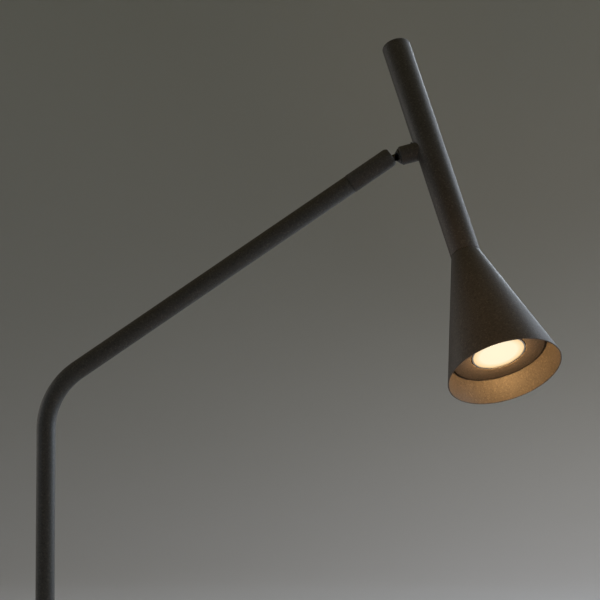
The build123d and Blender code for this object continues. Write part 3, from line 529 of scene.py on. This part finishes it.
def make_foot_pad():
    """Soft ring with grip grooves underneath and a clear hole at each screw."""
    pad_r, thick, middle_r = 102.0, 2.0, 1.0
    grooves, first_groove, pitch, deep, sloped, wide = 12, 14.0, 7.0, 0.5, 0.6, 2.4
    screws, screw_ring_r, screw_hole_r = 3, 80.0, 5.4
    outline = [(thick, pad_r), (thick, middle_r), (0.0, middle_r)]
    for groove in range(grooves):
        start = first_groove + groove * pitch
        outline += [(0.0, start), (deep, start + sloped)]
        outline += [(deep, start + wide - sloped), (0.0, start + wide)]
    outline += [(0.0, pad_r - sloped), (deep, pad_r)]
    pad = turned("foot_pad_grooved", outline, ORIGIN, UP, 128)
    for number in range(screws):
        swing = 2 * pi * number / screws
        middle = Vector((cos(swing), sin(swing), 0)) * screw_ring_r * MM
        drill(pad, rod(screw_hole_r, -2, 4, middle, UP, 32))
    hand_over(pad, "foot_pad")


def make_ring_nut():
    """Ring nut with a milled rim that fingers can grip."""
    bore_r, nut_r, height, sides = 6.05, 8.9, 2.4, 96
    mill_start, mill_end, mill_depth, land = 0.3, 1.9, 0.25, 0.06
    corners = [
        (FOOT_TOP, bore_r, 0),
        (FOOT_TOP, nut_r, 0.2),
        (FOOT_TOP + mill_start, nut_r, 0),
        (FOOT_TOP + mill_end, nut_r, 0),
        (FOOT_TOP + height, nut_r - 0.6, 0.2),
        (FOOT_TOP + height, bore_r, 0.2),
    ]
    nut = turned("milled_ring_nut", rounded(corners, 2), SWITCH, UP, sides)
    edit(nut)
    bpy.ops.mesh.select_all(action="DESELECT")
    leave()
    for face in nut.data.polygons:
        away = face.center - SWITCH
        on_rim = Vector((away.x, away.y)).length > (nut_r - 0.1) * MM and abs(face.normal.z) < 0.1
        milled = mill_start < away.z / MM - FOOT_TOP < mill_end
        slice_number = round(atan2(away.y, away.x) / (2 * pi) * sides - 0.5)
        face.select = on_rim and milled and slice_number % 2 == 0
    edit(nut, "FACE")
    bpy.ops.mesh.inset(thickness=land * MM, depth=-mill_depth * MM, use_individual=True)
    leave()
    hand_over(nut, "switch_nut")


def make_button():
    """Push button with a dished top, so a finger finds its middle."""
    low, collar_top, top = 17.7, 19.3, 28.0
    button_r, collar_r, dish_r, dish_depth, rings = 4.42, 5.35, 3.6, 0.5, 6
    corners = [
        (low, 0.6, 0),
        (low, collar_r, 0.2),
        (collar_top, collar_r, 0.2),
        (collar_top, button_r, 0),
        (top, button_r, 0),
    ]
    outline = rounded(corners, 4, closed=False)[:-1]
    outline += [(top - 0.5, button_r), (top - 0.25, button_r - 0.09)]
    outline += [(top - 0.07, button_r - 0.3), (top, button_r - 0.57)]
    for ring in range(rings, 0, -1):
        share = ring / rings
        outline.append((top - dish_depth * (1 - share**2), dish_r * share))
    button = turned("dished_button", outline, SWITCH, UP, 64, closed=False)
    hand_over(button, "switch_button")


def make_gland():
    """Bushing for the mains inlet, with a rounded flange outside the cover."""
    bore_r, body_r, flange_r = 3.25, 4.9, 6.6
    inner_end, flange_start, flange_end = -12.0, 0.1, 2.1
    corners = [
        (inner_end, bore_r, 0.3),
        (inner_end, body_r, 0.4),
        (flange_start, body_r, 0),
        (flange_start, flange_r, 0.2),
        (flange_end, flange_r, 1.0),
        (flange_end, bore_r, 0.5),
    ]
    gland = turned("inlet_gland", rounded(corners, 5), INLET, BACKWARDS, 64)
    hand_over(gland, "cord_gland")


# ---- sleeve and ball ------------------------------------------------------------------------
def make_turning_sleeve():
    """Turned sleeve with a rounded nose, a dark mouth and a socket behind it."""
    sleeve_r, nose_r, nose_start, nose_steps = 9.3, 6.0, 2.7, 12
    crest, lip, socket_r, socket_steps = 6.7, 2.6, 6.55, 6
    bore_r, screw_place, screw_hole_r = 7.05, -30.0, 1.53
    nose = []
    for step in range(nose_steps + 1):
        swing = asin((crest - nose_start) / nose_r) * step / nose_steps
        nose.append((nose_start + nose_r * sin(swing), sleeve_r - nose_r + nose_r * cos(swing)))
    crest_r = nose[-1][1]
    lip_r = sqrt(socket_r**2 - lip**2)
    socket = []
    for step in range(1, socket_steps + 1):
        place = lip * (1 - step / socket_steps)
        socket.append((place, sqrt(socket_r**2 - place**2)))
    outline = [(SLEEVE_START, bore_r), (SLEEVE_START, sleeve_r - 0.4)]
    outline += [(SLEEVE_START + 0.12, sleeve_r - 0.12), (SLEEVE_START + 0.4, sleeve_r)]
    outline += nose
    outline += [(crest + 0.06, crest_r - 0.25), (crest - 0.1, crest_r - 0.5)]
    outline += [(lip + 0.2, lip_r + 0.1), (lip, lip_r)]
    outline += socket + [(0.0, bore_r)]
    sleeve = turned("turning_sleeve", outline, BALL, ARM, 128)
    screw_hole = rod(screw_hole_r, 6, 11, BALL + ARM * screw_place * MM, Vector((0, 1, 0)), 32)
    drill(sleeve, screw_hole)
    hand_over(sleeve, "socket_sleeve")


def make_ball_and_neck():
    """Polished ball on a stem that flares out to the boss, with its shank inside the boss."""
    ball_r, mouth_r, bore_r = 6.5, 3.6, 1.8
    stem_r, flare_start, flare_r, flare_end, flare_bend_r = 3.25, 9.5, 7.4, 14.1, 3.0
    shank_r, shank_end, ball_steps = 3.0, 29.4, 24
    back = -sqrt(ball_r**2 - mouth_r**2)
    front = sqrt(ball_r**2 - stem_r**2)
    low, high = atan2(mouth_r, back), atan2(stem_r, front)
    ball = []
    for step in range(ball_steps + 1):
        swing = low + (high - low) * step / ball_steps
        ball.append((ball_r * cos(swing), ball_r * sin(swing)))
    corners = [
        (front, stem_r, 0),
        (flare_start, stem_r, flare_bend_r),
        (flare_end - 0.8, flare_r, 0.3),
        (flare_end, flare_r, 0.2),
        (flare_end, shank_r, 0),
        (shank_end, shank_r, 0.3),
        (shank_end, bore_r, 0.2),
        (back + mouth_r - bore_r, bore_r, 0),
    ]
    outline = ball[:-1] + rounded(corners, 5, closed=False)
    piece = turned("ball_and_neck", outline, BALL, STEM, 96)
    hand_over(piece, "ball_stem")


# ---- head -----------------------------------------------------------------------------------
HEAD_R = 14.0
HEAD_WALL = 1.2
SHADE_LENGTH = 130.0
MOUTH_R = 53.0
SLOPE = (MOUTH_R - HEAD_R) / SHADE_LENGTH
SHADE_WALL_ACROSS = 1.2 * sqrt(1 + SLOPE**2)
CAP_FACE = -HEAD_TUBE_LENGTH / MM
CAP_SEAT = -253.5
LAMP_FACE = 110.0


def make_boss():
    """Round boss with a broken near edge, cut at its far end to sit round the head tube."""
    face, end, boss_r, web, pocket_r, hole_r = 14.6, 38.0, 9.0, 4.6, 6.0, 3.05
    screw_place, screw_hole_r = 28.2, 1.03
    corners = [
        (face, hole_r, 0.2),
        (face, boss_r - 0.8, 0.12),
        (face + 0.8, boss_r, 0.12),
        (end, boss_r, 0),
        (end, pocket_r, 0),
        (face + web, pocket_r, 0.4),
        (face + web, hole_r, 0.2),
    ]
    boss = turned("boss_on_tube", rounded(corners, 3), BALL, STEM, 96)
    middle = BALL + STEM * HEAD_OFFSET
    drill(boss, rod(HEAD_R - 0.05, -40, 40, middle, HEAD, 192))
    screw_hole = rod(screw_hole_r, 5.5, 11, BALL + STEM * screw_place * MM, ABOVE_STEM, 32)
    drill(boss, screw_hole)
    hand_over(boss, "boss")


def make_head_tube():
    """Drawn tube with softened ends and a hole where the stem's lead comes in."""
    seam_gap, lead_hole_r = 0.5, 5.5
    corners = [
        (CAP_SEAT, HEAD_R, 0.15),
        (-seam_gap, HEAD_R, 0.25),
        (-seam_gap, HEAD_R - HEAD_WALL, 0.1),
        (CAP_SEAT, HEAD_R - HEAD_WALL, 0.1),
    ]
    tube = turned("head_tube_drawn", rounded(corners, 3), SEAM, HEAD, 128)
    drill(tube, rod(lead_hole_r, 26, 40, BALL, STEM))
    hand_over(tube, "head_tube")


def make_top_cap():
    """Turned cap, flat outside and hollow inside, whose skirt plugs into the tube."""
    skirt_end = CAP_FACE + 11.5
    skirt_r = HEAD_R - HEAD_WALL - 0.05
    hollow_r = HEAD_R - HEAD_WALL - 2
    middle_r = 2.0
    corners = [
        (CAP_FACE, middle_r, 0),
        (CAP_FACE, HEAD_R, 0.45),
        (CAP_SEAT, HEAD_R, 0.1),
        (CAP_SEAT, skirt_r, 0),
        (skirt_end, skirt_r, 0.3),
        (skirt_end, hollow_r, 0.2),
        (CAP_SEAT, hollow_r, 0.4),
        (CAP_SEAT, middle_r, 0),
    ]
    outline = rounded(corners, 4, closed=False)
    cap = turned("top_cap_turned", outline, SEAM, HEAD, 128, closed=False)
    hand_over(cap, "top_cap")


def shade_inner_r(place):
    return HEAD_R + SLOPE * place - SHADE_WALL_ACROSS


def make_shade():
    """Spun cone with a flat seat under the tube and a softened lip at the mouth."""
    flange, bore_r, lip = 1.5, 9.0, 0.42
    corners = [
        (0.0, bore_r, 0.1),
        (0.0, HEAD_R, 0.3),
        (SHADE_LENGTH, MOUTH_R, lip),
        (SHADE_LENGTH, shade_inner_r(SHADE_LENGTH), lip),
        (flange, shade_inner_r(flange), 0.4),
        (flange, bore_r, 0.1),
    ]
    shade = turned("spun_shade", rounded(corners, 4), SEAM, HEAD, 256)
    hand_over(shade, "shade")


def make_baffle():
    """Dish round the lamp, with a collar at its hole and a turned edge by the shade."""
    thick, hole_r, collar, edge, gap = 0.8, 25.7, 7.0, 3.0, 2.6
    outer_r = shade_inner_r(LAMP_FACE) - gap
    edge_r = outer_r - edge * SLOPE
    corners = [
        (LAMP_FACE - collar, hole_r, 0),
        (LAMP_FACE, hole_r, 0.6),
        (LAMP_FACE, outer_r, 0.6),
        (LAMP_FACE - edge, edge_r, 0),
        (LAMP_FACE - edge, edge_r - thick, 0),
        (LAMP_FACE - thick, outer_r - thick - 0.25, 0.2),
        (LAMP_FACE - thick, hole_r + thick, 0.2),
        (LAMP_FACE - collar, hole_r + thick, 0),
    ]
    baffle = turned("baffle_dish", rounded(corners, 4), SEAM, HEAD, 192)
    hand_over(baffle, "baffle")


def make_lamp_glass():
    """Front glass, a shallow lens with a bevelled rim."""
    glass_r, back, lens_rise, lens_r = 23.55, 108.4, 0.55, 21.5
    outline = [(back, 2.0), (back, glass_r - 0.2), (back + 0.2, glass_r)]
    outline += [(LAMP_FACE - 0.9, glass_r), (LAMP_FACE - 0.6, glass_r - 0.5)]
    for radius in (lens_r, 17.0, 12.5, 8.0, 4.0, 1.0):
        outline.append((LAMP_FACE - lens_rise * (radius / lens_r) ** 2, radius))
    glass = turned("lamp_front_glass", outline, SEAM, HEAD, 96, closed=False)
    hand_over(glass, "lamp_glass")


def make_lamp_reflector():
    """Pressed glass bowl: a curved shell, a rim that holds the front glass, a bright inside."""
    neck, rim_start, rim_r, holder_r = 72.0, 105.5, 25.0, 23.62
    neck_angle, shell_steps = radians(23.58), 14
    seat, bowl_r, bowl_floor, bowl_steps = 108.35, 22.8, 2.0, 11
    depth = (rim_start - neck) / cos(neck_angle)
    outline = []
    for step in range(shell_steps + 1):
        swing = neck_angle + (pi / 2 - neck_angle) * step / shell_steps
        outline.append((rim_start - depth * cos(swing), rim_r * sin(swing)))
    outline += [(LAMP_FACE - 0.25, rim_r), (LAMP_FACE, rim_r - 0.25), (LAMP_FACE, holder_r + 0.23)]
    outline += [(LAMP_FACE - 0.15, holder_r), (seat, holder_r)]
    for step in range(bowl_steps):
        swing = pi / 2 * (1 - step / bowl_steps)
        outline.append((seat - (seat - neck - bowl_floor) * cos(swing), bowl_r * sin(swing)))
    reflector = turned("lamp_reflector_bowl", outline, SEAM, HEAD, 72, closed=False)
    hand_over(reflector, "lamp_reflector")


def make_pieces():
    make_pole_and_arm()
    make_foot_cover()
    make_foot_pad()
    make_ring_nut()
    make_button()
    make_gland()
    make_turning_sleeve()
    make_ball_and_neck()
    make_boss()
    make_head_tube()
    make_top_cap()
    make_shade()
    make_baffle()
    make_lamp_glass()
    make_lamp_reflector()


# ---- studio ---------------------------------------------------------------------------------
def wall_paint():
    """Pale matt floor and backdrop with a faint rolled texture; the paint goes darker and warmer higher up the
    wall, as painted shade.
    """
    cloud_size, roll_size, roll_depth, high_wall = 1.6, 6 * MM, 0.15 * MM, 1.7
    paint = Finish("studio_floor")
    cloud = paint.noise(cloud_size, detail=4)
    axes = paint.node("ShaderNodeSeparateXYZ", None, {0: paint.place})
    # painted shade: the colour runs from the paler floor tone at z 0 to a darker, warmer tone at high_wall,
    # standing in for light falling off up the backdrop
    height = paint.range(Level(paint, axes.outputs["Z"]), 0.0, high_wall)
    painted_shade_tone = paint.mix(height, (0.60, 0.595, 0.61), (0.54, 0.54, 0.50))
    paint.set(
        base_color=paint.mix(paint.range(cloud, 0.3, 0.7) * 0.25, painted_shade_tone, (0.50, 0.50, 0.48)),
        roughness=0.9 + 0.05 * (cloud - 0.5),
        normal=paint.bump(paint.noise(roll_size, detail=3), roll_depth, 0.3),
    )
    return paint.material


def make_studio():
    """Round floor whose edge sweeps up into a wall, seen from inside."""
    room_r, room_height, sweep_r = 5.0, 5.0, 2.2
    deselect()
    bpy.ops.mesh.primitive_cylinder_add(
        vertices=128, radius=room_r, depth=room_height, location=(0, 0, room_height / 2)
    )
    studio = bpy.context.object
    studio.name = "studio_floor"
    bpy.ops.object.mode_set(mode="EDIT")
    bpy.ops.mesh.select_all(action="DESELECT")
    leave()
    for face in studio.data.polygons:
        face.select = face.normal.z > 0.5
    bpy.ops.object.mode_set(mode="EDIT")
    bpy.ops.mesh.delete(type="FACE")
    leave()
    nearly_low = 0.1 - room_height / 2
    for edge in studio.data.edges:
        edge.select = all(studio.data.vertices[v].co.z < nearly_low for v in edge.vertices)
    bpy.ops.object.mode_set(mode="EDIT")
    bpy.ops.mesh.bevel(offset=sweep_r, segments=14, affect="EDGES")
    bpy.ops.mesh.select_all(action="SELECT")
    bpy.ops.mesh.flip_normals()
    leave()
    bpy.ops.object.shade_smooth()
    settle()
    studio.data.materials.append(wall_paint())


LAMP_MIDDLE = (0.2, 0, 0.45)
POLE_MIDDLE = (0.1, 0, 0.45)
# name, place, what it faces, width and height, watts, colour, spread in degrees
WINDOWS = (
    ("tall_window", (2.4, 1.6, 1.5), BALL, (0.9, 2.2), 30.5, (0.80, 0.88, 1.0), 180),
    ("low_window", (2.4, 0.9, 0.45), LAMP_MIDDLE, (1.6, 0.8), 11.5, (0.70, 0.86, 1.0), 180),
    ("side_window", (2.6, -0.5, 0.9), LAMP_MIDDLE, (1.2, 1.6), 13.5, (0.66, 0.84, 1.0), 180),
    ("rim_window", (1.25, 2.8, 1.35), BALL, (0.5, 1.2), 1.7, (0.80, 0.90, 1.0), 60),
    ("left_fill", (-2.4, 1.2, 0.8), POLE_MIDDLE, (1.6, 1.4), 8.4, (1.0, 0.97, 0.94), 180),
    ("near_fill", (-2.4, -1.0, 0.8), POLE_MIDDLE, (1.6, 1.4), 4.0, (0.6, 0.8, 1.0), 180),
    ("wall_wash", (1.6, 1.9, 1.0), (1.3, 4.8, 0.55), (1.0, 0.6), 1.0, (0.98, 0.99, 1.0), 75),
    ("floor_wash", (1.5, 2.6, 2.2), (0.95, 2.6, 0.0), (1.2, 1.2), 5.0, (1.0, 0.99, 0.98), 100),
)


def hang(name, light, place, direction):
    """Put a light in its place, shining in a direction, itself unseen."""
    holder = bpy.data.objects.new(name, light)
    holder.location = place
    holder.rotation_euler = direction.to_track_quat("-Z", "Y").to_euler()
    holder.visible_camera = False
    bpy.context.scene.collection.objects.link(holder)
    return holder


def hang_window(name, place, aim, size, power, colour, spread):
    light = bpy.data.lights.new(name, "AREA")
    light.shape = "RECTANGLE"
    light.size, light.size_y = size
    light.energy = power
    light.color = colour
    light.spread = radians(spread)
    hang(name, light, place, Vector(aim) - Vector(place))


def small_light(name, kind, power, colour, radius):
    light = bpy.data.lights.new(name, kind)
    light.energy = power
    light.color = colour
    light.shadow_soft_size = radius
    return light


def spot(name, power, colour, radius, cone, blend):
    light = small_light(name, "SPOT", power, colour, radius)
    light.spot_size = radians(cone)
    light.spot_blend = blend
    return light


def light_studio():
    """Cool windows, soft fills and washes on the backdrop, all still."""
    world = bpy.data.worlds.new("studio_air")
    world.use_nodes = True
    air = world.node_tree.nodes["Background"]
    air.inputs["Color"].default_value = (1.0, 0.80, 0.40, 1.0)
    air.inputs["Strength"].default_value = 0.12
    bpy.context.scene.world = world
    for window in WINDOWS:
        hang_window(*window)


def light_lamp():
    """The lamp's own light, which rides on the head, and its warm glow off the table."""
    beam = spot("lamp_beam", 6.5, (1.0, 0.62, 0.32), 15 * MM, cone=64, blend=0.9)
    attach(hang("lamp_beam", beam, SEAM + HEAD * 114 * MM, HEAD), "head")
    glow = small_light("lamp_glow", "POINT", 0.17, (1.0, 0.56, 0.21), 6 * MM)
    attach(hang("lamp_glow", glow, SEAM + HEAD * 122 * MM, HEAD), "head")
    table_place = Vector((0.30, -1.25, 0.12))
    bounce = spot("table_bounce", 17.0, (1.0, 0.58, 0.26), 60 * MM, cone=17, blend=1.0)
    hang("table_bounce", bounce, table_place, SEAM + HEAD * 112 * MM - table_place)


def add_camera():
    camera = bpy.data.cameras.new("camera")
    camera.lens = CAMERA_LENS
    camera.sensor_width = 36.0
    camera.clip_end = 50.0
    holder = bpy.data.objects.new("camera", camera)
    holder.location = BALL + CAMERA_FROM_BALL
    holder.rotation_euler = (CAMERA_TILT, 0, 0)
    bpy.context.scene.collection.objects.link(holder)
    bpy.context.scene.camera = holder
    bpy.context.scene.view_settings.view_transform = "Standard"


finish_cad_nodes()
make_pieces()
make_studio()
light_studio()
light_lamp()
add_camera()
